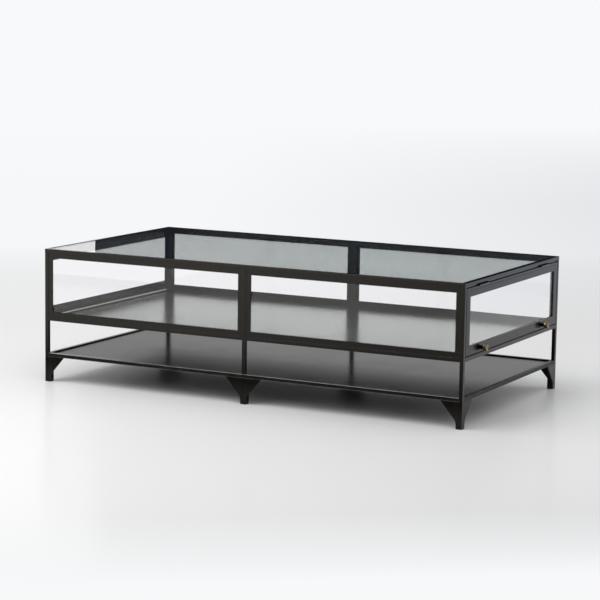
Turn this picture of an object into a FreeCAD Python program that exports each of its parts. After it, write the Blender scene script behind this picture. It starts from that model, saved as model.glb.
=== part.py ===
import FreeCAD
import Part
import Sketcher
import math
import os
import re

# Collectors display table: a low glass case in a welded frame of square steel bar.
# One lift-up glass door closes the right end, and an open sheet shelf lies under the case.
# Frame: millimetres, +X along the length towards the door, +Y to the back, +Z up.
# Origin: on the floor, under the middle of the whole table with its knobs.

# Driving sizes in millimetres.  Each can be changed by itself.
SIZES = {
    # Welded frame of square bar
    "frame_length": 1524.0,
    "frame_depth": 800.0,
    "frame_height": 450.0,
    "bar_width": 12.7,
    "case_rail_base": 208.0,
    "shelf_rail_base": 85.0,
    # Feet: a short square tube with a flared gusset plate along each rail
    "foot_width": 21.0,
    "foot_wall": 2.5,
    "foot_cap": 3.0,
    "glide_thickness": 1.5,
    "glide_inset": 0.5,
    "glide_plug": 10.0,
    "glide_clearance": 0.1,
    "gusset_reach": 53.0,
    "gusset_thickness": 3.0,
    "gusset_base": 17.0,
    "gusset_lip": 0.8,
    "gusset_radius": 22.0,
    # Fixed side panes: an outer stop, the pane and an inner bead fill the bar's thickness.
    # The left end has wider stops above and below, and a slot for air under them.
    "stop_width": 17.3,
    "stop_recess": 1.5,
    "stop_thickness": 3.2,
    "pane_thickness": 4.0,
    "pane_edge_gap": 2.0,
    "end_stop_width": 30.0,
    "end_vent_gap": 3.3,
    "bead_width": 9.0,
    "bead_thickness": 4.0,
    # Top pane, let in flush between the top rails
    "top_pane_thickness": 8.0,
    "top_pane_edge_gap": 0.8,
    "ledge_width": 10.0,
    "ledge_thickness": 3.0,
    "tape_width": 8.0,
    "tape_thickness": 1.0,
    # Case floor and lower shelf: sheet steel on a welded ledge with cross bars
    "sheet_thickness": 1.6,
    "sheet_drop": 4.5,
    "support_width": 20.0,
    "support_thickness": 5.5,
    # Door
    "door_bar": 28.5,
    "door_thickness": 12.0,
    "door_top_gap": 4.3,
    "door_side_gap": 3.0,
    "door_bottom_gap": 3.3,
    "door_rebate": 9.0,
    "door_face_lip": 4.0,
    "door_pane_edge_gap": 1.5,
    "door_bead_width": 8.0,
    # Butt hinges in the gap over the door
    "hinge_inset": 124.0,
    "hinge_length": 76.0,
    "leaf_thickness": 1.6,
    "leaf_depth": 12.0,
    "knuckle_radius": 3.2,
    "knuckle_stand_off": 0.3,
    "knuckle_clearance": 0.4,
    "pin_radius": 1.5,
    "pin_running_clearance": 0.05,
    "pin_cap_radius": 2.6,
    "pin_cap_length": 1.2,
    # Countersunk hinge screws
    "hinge_screw_radius": 1.4,
    "hinge_screw_head_radius": 2.6,
    "hinge_screw_head_height": 1.2,
    "hinge_screw_length": 8.0,
    "hinge_screw_spacing": 27.0,
    "screw_clearance": 0.05,
    # Turned brass knobs
    "knob_inset": 123.0,
    "knob_neck_radius": 7.0,
    "knob_neck_length": 9.0,
    "knob_head_radius": 13.0,
    "knob_head_length": 11.5,
    "knob_edge": 0.8,
    "knob_screw_radius": 2.0,
    "knob_screw_depth": 10.0,
    "knob_screw_head_radius": 3.8,
    "knob_screw_head_height": 2.4,
    # Magnetic catches behind the foot of the door
    "catch_inset": 34.0,
    "catch_width": 24.0,
    "catch_depth": 10.0,
    "catch_height": 21.0,
    "catch_gap": 0.5,
    "strike_width": 20.0,
    "strike_height": 13.0,
    "strike_thickness": 1.0,
    "strike_lift": 3.0,
}

# Places and sizes that follow from the driving sizes.
PLACES = {
    "knob_reach": "knob_neck_length + knob_head_length",
    "left_face": "-(frame_length + knob_reach) / 2",
    "right_face": "left_face + frame_length",
    "front_face": "-frame_depth / 2",
    "back_face": "frame_depth / 2",
    "middle": "(left_face + right_face) / 2",
    "inner_length": "frame_length - 2 * bar_width",
    "inner_depth": "frame_depth - 2 * bar_width",
    "top_rail_base": "frame_height - bar_width",
    "case_top": "case_rail_base + bar_width",
    "shelf_top": "shelf_rail_base + bar_width",
    "bay_length": "(inner_length - bar_width) / 2",
    "bay_height": "top_rail_base - case_top",
    "pane_inset": "stop_recess + stop_thickness",
    "bead_inset": "pane_inset + pane_thickness",
    "top_pane_base": "frame_height - top_pane_thickness",
    "ledge_top": "top_pane_base - tape_thickness",
    "case_floor_top": "case_top - sheet_drop",
    "shelf_floor_top": "shelf_top - sheet_drop",
    "door_base": "case_top + door_bottom_gap",
    "door_top": "top_rail_base - door_top_gap",
    "door_height": "door_top - door_base",
    "door_front": "front_face + bar_width + door_side_gap",
    "door_width": "frame_depth - 2 * (bar_width + door_side_gap)",
    "hinge_across": "door_width / 2 - hinge_inset",
    "knob_across": "door_width / 2 - knob_inset",
    "catch_across": "door_width / 2 - catch_inset",
    "door_rebate_wall": "door_bar - door_rebate",
    "door_bead_inset": "door_face_lip + pane_thickness",
    "door_bead_thickness": "door_thickness - door_bead_inset",
    "pin_across": "right_face + knuckle_stand_off + knuckle_radius",
    "pin_level": "top_rail_base - door_top_gap / 2",
    "knuckle_length": "hinge_length / 5",
    "hinge_screw_across": "right_face - leaf_depth / 2",
    "knob_level": "door_base + door_bar / 2",
}

# Each side of the frame: its outer face, and +1 where inwards is along the axis.
SIDES = {
    "left": ("left_face", 1),
    "right": ("right_face", -1),
    "front": ("front_face", 1),
    "back": ("back_face", -1),
}
LONG_SIDES = ("front", "back")
# The two halves of what comes in pairs across the door, with their way along Y.
ENDS = {"front": -1, "back": 1}
# Knuckles of a hinge, counted from 0 at its front end.
RAIL_KNUCKLES = (0, 2, 4)
DOOR_KNUCKLES = (1, 3)
# Directions that a round piece's own axis can take.
UPRIGHT = FreeCAD.Vector(0, 0, 1)
ALONG_X = FreeCAD.Vector(1, 0, 0)
ALONG_Y = FreeCAD.Vector(0, 1, 0)
WORD = re.compile(r"[a-z_]+")

doc = FreeCAD.newDocument("display_table")
nodes = []


def formula(text):
    """Write a formula of size names as an expression on the two sheets."""
    def with_sheet(match):
        word = match.group(0)
        return ("Sizes." if word in SIZES else "Places.") + word
    return WORD.sub(with_sheet, text)


def make_sheet(name, cells):
    """Fill one spreadsheet, with the alias of each cell beside its value."""
    sheet = doc.addObject("Spreadsheet::Sheet", name)
    for row, (alias, content) in enumerate(cells, start=1):
        sheet.set(f"A{row}", alias)
        sheet.set(f"B{row}", content)
        sheet.setAlias(f"B{row}", alias)
    return sheet


def bind(item, **formulas):
    """Bind properties of an object to formulas of the sizes."""
    for name, text in formulas.items():
        item.setExpression(name, formula(text))


def place(item, corner):
    """Bind an object's place to three formulas."""
    for axis, text in zip("xyz", corner):
        item.setExpression(f"Placement.Base.{axis}", formula(text))


def block(name, corner, size):
    """A rectangular piece from its low corner and its three sizes."""
    item = doc.addObject("Part::Box", name)
    bind(item, Length=size[0], Width=size[1], Height=size[2])
    place(item, corner)
    return item


def rod(name, start, radius, length, direction=UPRIGHT):
    """A round piece that starts at a point and runs along one axis."""
    item = doc.addObject("Part::Cylinder", name)
    item.Placement.Rotation = FreeCAD.Rotation(UPRIGHT, direction)
    bind(item, Radius=radius, Height=length)
    place(item, start)
    return item


def joined(name, parts):
    """Several solids made one."""
    item = doc.addObject("Part::MultiFuse", name)
    item.Shapes = parts
    item.Refine = True
    return item


def without(name, base, tools):
    """A solid with other solids cut away from it."""
    for number, tool in enumerate(tools, start=1):
        item = doc.addObject("Part::Cut", f"{name}_cut_{number}")
        item.Base = base
        item.Tool = tool
        base = item
    return base


def group(name, parts):
    """Separate solids that share one node."""
    item = doc.addObject("Part::Compound", name)
    item.Links = parts
    return item


def keep(name, item):
    """Name a finished object as a node of the table."""
    item.Label = name
    nodes.append(item)
    return item


def inward(side, inset, size):
    """Low coordinate of a piece whose outer face lies some way in from a side of the frame."""
    face, way = SIDES[side]
    if way > 0:
        return f"{face} + {inset}"
    return f"{face} - ({inset}) - ({size})"


def panel(name, side, start, run, base, rise, inset, thickness):
    """A piece that stands parallel to one side: run along it, rise upwards, thickness inwards."""
    across = inward(side, inset, thickness)
    if side in LONG_SIDES:
        return block(name, (start, across, base), (run, thickness, rise))
    return block(name, (across, start, base), (thickness, run, rise))


def inner_run(side):
    """Start and run along one side of the frame, between its corner legs."""
    if side in LONG_SIDES:
        return "left_face + bar_width", "inner_length"
    return "front_face + bar_width", "inner_depth"


def window(name, side, opening, widths, inset, thickness):
    """Four strips round the inside of an opening, given as its start, run, base and rise.

    The widths are that of the level strips and that of the upright ones.
    """
    start, run, base, rise = opening
    level, width = widths
    upright = f"{rise} - 2 * {level}"
    far = f"{start} + {run} - {width}"
    sill = f"{base} + {level}"
    head = f"{base} + {rise} - {level}"
    return [
        panel(name + "_bottom", side, start, run, base, level, inset, thickness),
        panel(name + "_top", side, start, run, head, level, inset, thickness),
        panel(name + "_start", side, start, width, sill, upright, inset, thickness),
        panel(name + "_end", side, far, width, sill, upright, inset, thickness),
    ]


# ---------------------------------------------------------------- welded frame

def bar(name, side, start, run, base, rise):
    """A piece of the square bar in one side of the frame, flush with its outer face."""
    return panel(name, side, start, run, base, rise, "0", "bar_width")


def make_rails():
    """Three levels of rails: the top ones cap the legs, the others run between them."""
    for side in SIDES:
        start, run = inner_run(side)
        if side in LONG_SIDES:
            rail = bar("top_bar_" + side, side, "left_face", "frame_length", "top_rail_base", "bar_width")
        else:
            rail = bar("top_bar_" + side, side, start, run, "top_rail_base", "bar_width")
        if side == "right":
            rail = without(rail.Name, rail, hinge_screws("rail_hole", 1, "screw_clearance"))
        keep("top_rail_" + side, rail)
        for level in ("case", "shelf"):
            rail = bar(f"{level}_bar_{side}", side, start, run, level + "_rail_base", "bar_width")
            keep(f"{level}_rail_{side}", rail)


def make_legs():
    """Four corner legs from the feet to the top rails, and a middle leg on each long side."""
    for side in LONG_SIDES:
        for end in ("left", "right"):
            leg = bar(f"corner_bar_{side}_{end}", side, inward(end, "0", "bar_width"), "bar_width",
                      "shelf_rail_base", "top_rail_base - shelf_rail_base")
            keep(f"leg_{side}_{end}", leg)
        spans = (("case_top", "bay_height"), ("shelf_top", "case_rail_base - shelf_top"))
        posts = [
            bar(f"middle_bar_{side}_{number}", side, "middle - bar_width / 2", "bar_width", base, rise)
            for number, (base, rise) in enumerate(spans)
        ]
        keep(f"leg_{side}_middle", group(f"middle_leg_{side}", posts))


# ---------------------------------------------------------------- feet

def gusset_outline(sketch):
    """Draw the plate's outline: top, slope, arc, lip and the side against the foot.

    The slope runs from the tip under the rail and touches a circle that stands a lip out from the
    foot.  The touching point is the circle's radius turned from the tip's direction by the angle
    whose cosine is the radius over the tip's distance.
    """
    vector = FreeCAD.Vector
    base, lip, radius = (SIZES[name] for name in ("gusset_base", "gusset_lip", "gusset_radius"))
    top, reach = SIZES["shelf_rail_base"], SIZES["gusset_reach"]
    tip, toe, centre = vector(reach, top), vector(lip, base), vector(lip + radius, base)
    away = tip - centre
    turn = math.atan2(away.y, away.x) + math.acos(radius / away.Length)
    tangent = centre + vector(math.cos(turn), math.sin(turn)) * radius
    halfway = (turn + math.pi) / 2
    middle = centre + vector(math.cos(halfway), math.sin(halfway)) * radius
    corner, low = vector(0, top), vector(0, base)
    edges = [Part.LineSegment(corner, tip), Part.LineSegment(tip, tangent), Part.Arc(tangent, middle, toe),
             Part.LineSegment(toe, low), Part.LineSegment(low, corner)]
    sketch.addGeometry(edges, False)
    head, slope, arc, lip_edge, side = range(len(edges))
    origin, upright_axis, first, last, mid = (-1, 1), -2, 1, 2, 3
    sketch.addConstraint([
        Sketcher.Constraint("Coincident", head, last, slope, first),
        Sketcher.Constraint("Tangent", slope, last, arc, first),
        Sketcher.Constraint("Coincident", arc, last, lip_edge, first),
        Sketcher.Constraint("Coincident", lip_edge, last, side, first),
        Sketcher.Constraint("Coincident", side, last, head, first),
        Sketcher.Constraint("Horizontal", head),
        Sketcher.Constraint("Horizontal", lip_edge),
        Sketcher.Constraint("Horizontal", arc, mid, arc, last),
        Sketcher.Constraint("PointOnObject", side, first, upright_axis),
        Sketcher.Constraint("PointOnObject", side, last, upright_axis),
    ])
    driven = {
        "gusset_reach": Sketcher.Constraint("DistanceX", head, first, head, last, reach),
        "shelf_rail_base": Sketcher.Constraint("DistanceY", *origin, head, first, top),
        "gusset_base": Sketcher.Constraint("DistanceY", *origin, side, first, base),
        "gusset_lip": Sketcher.Constraint("DistanceX", lip_edge, last, lip_edge, first, lip),
        "gusset_radius": Sketcher.Constraint("Radius", arc, radius),
    }
    for size, constraint in driven.items():
        number = sketch.addConstraint(constraint)
        sketch.setExpression(f"Constraints[{number}]", formula(size))


def gusset(name, turn, corner):
    """A flared plate under a rail, drawn outwards from the foot's side and turned about Z."""
    body = doc.addObject("PartDesign::Body", name)
    sketch = body.newObject("Sketcher::SketchObject", name + "_outline")
    plane = next(item for item in body.Origin.OriginFeatures if item.Role == "XZ_Plane")
    sketch.AttachmentSupport = [(plane, "")]
    sketch.MapMode = "FlatFace"
    gusset_outline(sketch)
    pad = body.newObject("PartDesign::Pad", name + "_plate")
    pad.Profile = sketch
    pad.Reversed = True
    bind(pad, Length="gusset_thickness")
    body.Tip = pad
    body.Placement.Rotation = FreeCAD.Rotation(UPRIGHT, turn)
    place(body, corner)
    return body


def make_feet():
    """Six capped tubes under the shelf rails with their gussets, and a glide in each tube."""
    glides = []
    for side in LONG_SIDES:
        across = inward(side, "0", "foot_width")
        for spot, start in (("left", "left_face"), ("middle", "middle - foot_width / 2"),
                            ("right", "right_face - foot_width")):
            name = f"foot_{side}_{spot}"
            tube = block(name + "_tube", (start, across, "glide_thickness"),
                         ("foot_width", "foot_width", "shelf_rail_base - glide_thickness"))
            bore = block(name + "_bore", (start + " + foot_wall", across + " + foot_wall", "0"),
                         ("foot_width - 2 * foot_wall", "foot_width - 2 * foot_wall",
                          "shelf_rail_base - foot_cap"))
            parts = [without(name, tube, [bore])]
            outer = inward(side, "0", "gusset_thickness")
            if spot != "right":
                parts.append(gusset(name + "_gusset_right", 0, (start + " + foot_width", outer, "0")))
            if spot != "left":
                parts.append(gusset(name + "_gusset_left", 180, (start, outer + " + gusset_thickness", "0")))
            if spot != "middle":
                plate = inward(spot, "0", "gusset_thickness")
                if side == "front":
                    parts.append(gusset(name + "_gusset_end", 90,
                                        (plate + " + gusset_thickness", across + " + foot_width", "0")))
                else:
                    parts.append(gusset(name + "_gusset_end", -90, (plate, across, "0")))
            keep(name, group(name + "_parts", parts))
            hold = "foot_wall + glide_clearance"
            pad = block(name + "_pad", (start + " + glide_inset", across + " + glide_inset", "0"),
                        ("foot_width - 2 * glide_inset", "foot_width - 2 * glide_inset", "glide_thickness"))
            plug = block(name + "_plug", (f"{start} + {hold}", f"{across} + {hold}", "0"),
                         (f"foot_width - 2 * ({hold})", f"foot_width - 2 * ({hold})",
                          "glide_thickness + glide_plug"))
            glides.append(joined(name + "_glide", [pad, plug]))
    keep("foot_glides", group("glides", glides))


# ---------------------------------------------------------------- glazing

def make_side_glazing():
    """Five fixed bays: stops outside, a pane behind them and beads inside."""
    long_bay = ("case_top", "bay_height", "stop_width")
    bays = {}
    for side in LONG_SIDES:
        bays[side + "_left"] = (side, "left_face + bar_width", "bay_length", *long_bay)
        bays[side + "_right"] = (side, "middle + bar_width / 2", "bay_length", *long_bay)
    bays["left_end"] = ("left", *inner_run("left"), "case_top + end_vent_gap",
                        "bay_height - end_vent_gap", "end_stop_width")
    beads = []
    for bay, (side, start, run, base, rise, level) in bays.items():
        opening = (start, run, base, rise)
        stops = window("stop_" + bay, side, opening, (level, "stop_width"),
                       "stop_recess", "stop_thickness")
        keep("glazing_frame_" + bay, group("stops_" + bay, stops))
        pane = panel("pane_" + bay, side, start + " + pane_edge_gap", run + " - 2 * pane_edge_gap",
                     base + " + pane_edge_gap", rise + " - 2 * pane_edge_gap",
                     "pane_inset", "pane_thickness")
        keep("side_glass_" + bay, pane)
        beads += window("bead_" + bay, side, opening, ("bead_width", "bead_width"),
                        "bead_inset", "bead_thickness")
    keep("glazing_beads", group("beads", beads))


def ledge(name, width, base, thickness):
    """Four strips welded inside the rails of one level, all round."""
    strips = []
    for side in SIDES:
        start, run = inner_run(side)
        if side not in LONG_SIDES:
            start, run = f"{start} + {width}", f"{run} - 2 * {width}"
        strips.append(panel(f"{name}_{side}", side, start, run, base, thickness, "bar_width", width))
    return strips


def make_top():
    """The flush top pane on tape, on a ledge inside the top rails."""
    gap = "bar_width + top_pane_edge_gap"
    pane = block("top_pane", (f"left_face + {gap}", f"front_face + {gap}", "top_pane_base"),
                 ("inner_length - 2 * top_pane_edge_gap", "inner_depth - 2 * top_pane_edge_gap",
                  "top_pane_thickness"))
    keep("top_glass", pane)
    shelf = ledge("top_ledge_strip", "ledge_width", "ledge_top - ledge_thickness", "ledge_thickness")
    keep("top_glass_ledge", group("top_ledge", shelf))
    tape = ledge("top_tape_strip", "tape_width", "ledge_top", "tape_thickness")
    keep("top_glass_tape", group("top_tape", tape))


# ---------------------------------------------------------------- case floor and shelf

def make_sheets():
    """Two steel sheets between the rails, each on a ledge with three cross bars."""
    for name, top in (("case_floor", "case_floor_top"), ("lower_shelf", "shelf_floor_top")):
        sheet = block(name + "_sheet",
                      ("left_face + bar_width", "front_face + bar_width", f"{top} - sheet_thickness"),
                      ("inner_length", "inner_depth", "sheet_thickness"))
        keep(name, sheet)
        base = f"{top} - sheet_thickness - support_thickness"
        bars = ledge(name + "_ledge", "support_width", base, "support_thickness")
        for number in (1, 2, 3):
            corner = (f"left_face + frame_length * {number} / 4 - support_width / 2",
                      "front_face + bar_width + support_width", base)
            bars.append(block(f"{name}_cross_bar_{number}", corner,
                              ("support_width", "inner_depth - 2 * support_width", "support_thickness")))
        keep(name + "_supports", group(name + "_bars", bars))


# ---------------------------------------------------------------- door

def make_door():
    """Two stiles and two rails with a rebate behind, a pane in the rebate and beads behind it."""
    edge = "door_rebate_wall"
    start, run = f"door_front + {edge}", f"door_width - 2 * {edge}"
    base, rise = f"door_base + {edge}", f"door_height - 2 * {edge}"
    rebate = panel("door_rebate_space", "right", start, run, base, rise, "door_face_lip", "door_thickness")
    knob_holes = []
    for side, way in ENDS.items():
        knob_holes.append(rod(f"knob_hole_{side}",
                              ("right_face - door_thickness", f"knob_across * ({way})", "knob_level"),
                              "knob_screw_radius + screw_clearance", "door_thickness", ALONG_X))
    screw_holes = hinge_screws("door_hole", -1, "screw_clearance")
    rail_start, rail_run = "door_front + door_bar", "door_width - 2 * door_bar"
    stile_back = "door_front + door_width - door_bar"
    pieces = {
        "door_stile_front": ("door_front", "door_bar", "door_base", "door_height", []),
        "door_stile_back": (stile_back, "door_bar", "door_base", "door_height", []),
        "door_rail_bottom": (rail_start, rail_run, "door_base", "door_bar", knob_holes),
        "door_rail_top": (rail_start, rail_run, "door_top - door_bar", "door_bar", screw_holes),
    }
    for name, (*outline, tools) in pieces.items():
        solid = panel(name + "_bar", "right", *outline, "0", "door_thickness")
        keep(name, without(name, solid, [rebate] + tools))
    slack = "door_pane_edge_gap"
    pane = panel("door_pane", "right", f"{start} + {slack}", f"{run} - 2 * {slack}",
                 f"{base} + {slack}", f"{rise} - 2 * {slack}", "door_face_lip", "pane_thickness")
    keep("door_glass", pane)
    beads = window("door_bead", "right", (start, run, base, rise),
                   ("door_bead_width", "door_bead_width"), "door_bead_inset", "door_bead_thickness")
    keep("door_beads", group("door_bead_strips", beads))


# ---------------------------------------------------------------- hinges

def hinge_screw(name, along, way, clearance):
    """A countersunk screw from the gap into the rail above (way 1) or the door below (way -1)."""
    wide = f"hinge_screw_head_radius + {clearance}"
    narrow = f"hinge_screw_radius + {clearance}"
    cone = doc.addObject("Part::Cone", name + "_head")
    bind(cone, Height="hinge_screw_head_height")
    if way > 0:
        bind(cone, Radius1=wide, Radius2=narrow)
        head_base = shank_base = "top_rail_base - leaf_thickness"
    else:
        bind(cone, Radius1=narrow, Radius2=wide)
        head_base = "door_top + leaf_thickness - hinge_screw_head_height"
        shank_base = "door_top + leaf_thickness - hinge_screw_length"
    place(cone, ("hinge_screw_across", along, head_base))
    shank = rod(name + "_shank", ("hinge_screw_across", along, shank_base), narrow, "hinge_screw_length")
    return joined(name, [cone, shank])


def leaf_screws(name, hinge_way, way, clearance):
    """The three screws, or their holes, of one hinge leaf."""
    return [hinge_screw(f"{name}_{number}", f"hinge_across * ({hinge_way}) + hinge_screw_spacing * ({step})",
                        way, clearance)
            for number, step in enumerate((-1, 0, 1), start=1)]


def hinge_screws(name, way, clearance):
    """The screws, or their holes, of both hinges on one side of the gap."""
    screws = []
    for end, hinge_way in ENDS.items():
        screws += leaf_screws(f"{name}_{end}", hinge_way, way, clearance)
    return screws


def knuckle(name, start, spot, radius, spare):
    """One fifth of a hinge's barrel, longer at each end by a spare length."""
    place_along = f"{start} + knuckle_length * {spot} - ({spare})"
    return rod(f"{name}_{spot}", ("pin_across", place_along, "pin_level"),
               radius, f"knuckle_length + 2 * ({spare})", ALONG_Y)


def hinge_leaf(name, hinge_way, way):
    """A leaf with its knuckles: way 1 is the rail's leaf, way -1 the door's."""
    base = "top_rail_base - leaf_thickness" if way > 0 else "door_top"
    start = f"hinge_across * ({hinge_way}) - hinge_length / 2"
    plate = block(name + "_plate", ("right_face - leaf_depth", start, base),
                  ("pin_across - right_face + leaf_depth", "hinge_length", "leaf_thickness"))
    own, others = (RAIL_KNUCKLES, DOOR_KNUCKLES) if way > 0 else (DOOR_KNUCKLES, RAIL_KNUCKLES)
    play = "knuckle_clearance / 2"
    barrel = [knuckle(name + "_knuckle", start, spot, "knuckle_radius", "-" + play) for spot in own]
    space_radius = "knuckle_radius + knuckle_clearance"
    spaces = [knuckle(name + "_space", start, spot, space_radius, play) for spot in others]
    bore = rod(name + "_bore", ("pin_across", f"{start} - pin_cap_length", "pin_level"),
               "pin_radius + pin_running_clearance", "hinge_length + 2 * pin_cap_length", ALONG_Y)
    leaf = joined(name + "_leaf", [without(name + "_relief", plate, spaces)] + barrel)
    return without(name, leaf, [bore] + leaf_screws(name + "_hole", hinge_way, way, "screw_clearance"))


def make_hinges():
    """Two butt hinges: leaves, capped pins and countersunk screws."""
    for node, way in (("hinge_frame_leaves", 1), ("hinge_door_leaves", -1)):
        leaves = [hinge_leaf(f"{node}_{end}", hinge_way, way) for end, hinge_way in ENDS.items()]
        keep(node, group(node + "_pair", leaves))
    pins = []
    for end, hinge_way in ENDS.items():
        start = f"hinge_across * ({hinge_way}) - hinge_length / 2"
        shaft = rod(f"pin_{end}_shaft", ("pin_across", start, "pin_level"),
                    "pin_radius", "hinge_length", ALONG_Y)
        caps = [rod(f"pin_{end}_cap_{number}", ("pin_across", along, "pin_level"),
                    "pin_cap_radius", "pin_cap_length", ALONG_Y)
                for number, along in enumerate((f"{start} - pin_cap_length", f"{start} + hinge_length"))]
        pins.append(joined(f"pin_{end}", [shaft] + caps))
    keep("hinge_pins", group("pins", pins))
    keep("hinge_screws_frame", group("frame_screws", hinge_screws("frame_screw", 1, "0")))
    keep("hinge_screws_door", group("door_screws", hinge_screws("door_screw", -1, "0")))


# ---------------------------------------------------------------- knobs and catches

def knob_head(name, along):
    """A disc with a bevel round both of its edges."""
    disc = rod(name + "_disc", ("right_face + knob_neck_length + knob_edge", along, "knob_level"),
               "knob_head_radius", "knob_head_length - 2 * knob_edge", ALONG_X)
    parts = [disc]
    for start, small, large in (("right_face + knob_neck_length", "Radius1", "Radius2"),
                                ("right_face + knob_reach - knob_edge", "Radius2", "Radius1")):
        bevel = doc.addObject("Part::Cone", f"{name}_bevel_{small}")
        bevel.Placement.Rotation = FreeCAD.Rotation(UPRIGHT, ALONG_X)
        bind(bevel, Height="knob_edge")
        bind(bevel, **{small: "knob_head_radius - knob_edge", large: "knob_head_radius"})
        place(bevel, (start, along, "knob_level"))
        parts.append(bevel)
    return parts


def make_knobs():
    """Two turned knobs, each held by a screw from behind the door's bottom rail."""
    screws = []
    for side, way in ENDS.items():
        along = f"knob_across * ({way})"
        name = f"knob_{side}"
        neck = rod(name + "_neck", ("right_face", along, "knob_level"), "knob_neck_radius",
                   "knob_neck_length", ALONG_X)
        tapping = rod(name + "_tapping", ("right_face", along, "knob_level"),
                      "knob_screw_radius + screw_clearance", "knob_screw_depth + screw_clearance", ALONG_X)
        turned = joined(name + "_turned", [neck] + knob_head(name, along))
        keep(name, without(name + "_tapped", turned, [tapping]))
        shank = rod(name + "_shank", ("right_face - door_thickness", along, "knob_level"),
                    "knob_screw_radius", "door_thickness + knob_screw_depth", ALONG_X)
        pan_start = "right_face - door_thickness - knob_screw_head_height"
        pan = rod(name + "_pan", (pan_start, along, "knob_level"),
                  "knob_screw_head_radius", "knob_screw_head_height", ALONG_X)
        screws.append(joined(name + "_screw", [shank, pan]))
    keep("knob_screws", group("knob_screw_pair", screws))


def make_catches():
    """Magnets on the case floor hold steel strikes on the back of the door's bottom rail."""
    magnets = []
    strikes = []
    magnet_inset = "door_thickness + strike_thickness + catch_gap"
    for side, way in ENDS.items():
        middle = f"catch_across * ({way})"
        magnets.append(panel(f"catch_{side}", "right", f"{middle} - catch_width / 2", "catch_width",
                             "case_floor_top", "catch_height", magnet_inset, "catch_depth"))
        strikes.append(panel(f"strike_{side}", "right", f"{middle} - strike_width / 2", "strike_width",
                             "door_base + strike_lift", "strike_height",
                             "door_thickness", "strike_thickness"))
    keep("magnetic_catches", group("catches", magnets))
    keep("strike_plates", group("strikes", strikes))


def check_document():
    """Stop if any object failed or any node is not a whole solid."""
    for item in doc.Objects:
        if {"Invalid", "Error"} & set(item.State):
            raise RuntimeError(f"{item.Label} failed: {item.State}")
    for node in nodes:
        if node.Shape.isNull() or not node.Shape.isValid() or not node.Shape.Solids:
            raise RuntimeError(f"{node.Label} is not a valid solid")


def write_parts():
    """Write each node to its own STEP file."""
    os.makedirs("parts", exist_ok=True)
    for node in nodes:
        node.Shape.exportStep(f"parts/{node.Label}.step")


make_sheet("Sizes", [(alias, str(value)) for alias, value in SIZES.items()])
make_sheet("Places", [(alias, "=" + formula(text).replace("Places.", "")) for alias, text in PLACES.items()])
make_rails()
make_legs()
make_feet()
make_side_glazing()
make_top()
make_sheets()
make_door()
make_hinges()
make_knobs()
make_catches()
doc.recompute()
check_document()
write_parts()
box = Part.makeCompound([node.Shape for node in nodes]).BoundBox
print(len(nodes), "nodes in", box)
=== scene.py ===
"""Collectors display table: the look of every piece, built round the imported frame.

A low glass case in a welded frame of blackened square bar, with a sheet-steel shelf below it and a
lift-up glass door at its right end.  Lengths are in metres unless a name ends in _mm.
"""
import logging
import math
from dataclasses import dataclass
from enum import Enum
from functools import cache

import bmesh
import bpy
import numpy as np
from mathutils import Matrix, Vector


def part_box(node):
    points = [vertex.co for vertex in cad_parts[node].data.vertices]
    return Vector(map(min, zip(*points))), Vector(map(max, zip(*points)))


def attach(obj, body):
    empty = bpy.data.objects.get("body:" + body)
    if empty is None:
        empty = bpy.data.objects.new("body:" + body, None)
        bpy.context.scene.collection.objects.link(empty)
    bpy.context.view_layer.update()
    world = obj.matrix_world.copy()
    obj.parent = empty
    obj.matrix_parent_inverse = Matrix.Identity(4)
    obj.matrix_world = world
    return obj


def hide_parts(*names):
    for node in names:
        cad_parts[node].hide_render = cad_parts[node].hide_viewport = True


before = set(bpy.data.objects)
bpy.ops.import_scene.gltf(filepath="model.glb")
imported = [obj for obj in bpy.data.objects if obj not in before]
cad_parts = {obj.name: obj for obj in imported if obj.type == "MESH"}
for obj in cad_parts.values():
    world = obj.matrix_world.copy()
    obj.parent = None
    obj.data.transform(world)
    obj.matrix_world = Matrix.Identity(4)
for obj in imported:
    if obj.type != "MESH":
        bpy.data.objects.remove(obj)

MM = 0.001
TABLE = "table"
DOOR = "door"
LOG = logging.getLogger("display_table")
ARC_STEPS = 3                    # pieces in a rounded corner
BEND_STEPS = 4                   # pieces in a bend of a turned profile
SAME_POINT = 1e-7                # points nearer than this are one
UP = np.array([0.0, 0.0, 1.0])

Array = np.ndarray
Span = tuple[float, float]
Place = tuple[float, float, float]
Fade = tuple[Span, str, str]     # where a colour turns into another, and the two colours


# ------------------------ shapes

class Run(Enum):
    """The way a bar or strip runs.  Each value lists the two directions across it and the one along."""

    X = (1, 2, 0)
    Y = (2, 0, 1)
    Z = (0, 1, 2)

    def mix(self, across: Array, along: float | Array) -> Array:
        """Put section coordinates and places along the run into x, y and z.

        Args:
            across: Section coordinates, in a last axis of length two.
            along: Places along the run, one for each point or for a whole ring.

        Returns:
            Points, in a last axis of length three.
        """
        points = np.empty(across.shape[:-1] + (3,))
        points[..., self.value[:2]] = across
        points[..., self.value[2]] = along
        return points


@dataclass
class Shell:
    """A surface: its points, and its faces as rows of point numbers."""

    points: Array
    faces: list[list[int]]

    def moved(self, origin: Array, axes: Array) -> "Shell":
        """Carry the shell's own x, y and z to the rows of axes, and its zero to origin."""
        return Shell(self.points @ axes + origin, self.faces)


def joined(shells: list[Shell]) -> Shell:
    """Put several shells into one, each still closed in itself."""
    starts = np.cumsum([0] + [len(shell.points) for shell in shells])
    faces = [[number + start for number in face]
             for shell, start in zip(shells, starts.tolist()) for face in shell.faces]
    return Shell(np.concatenate([shell.points for shell in shells]), faces)


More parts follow.
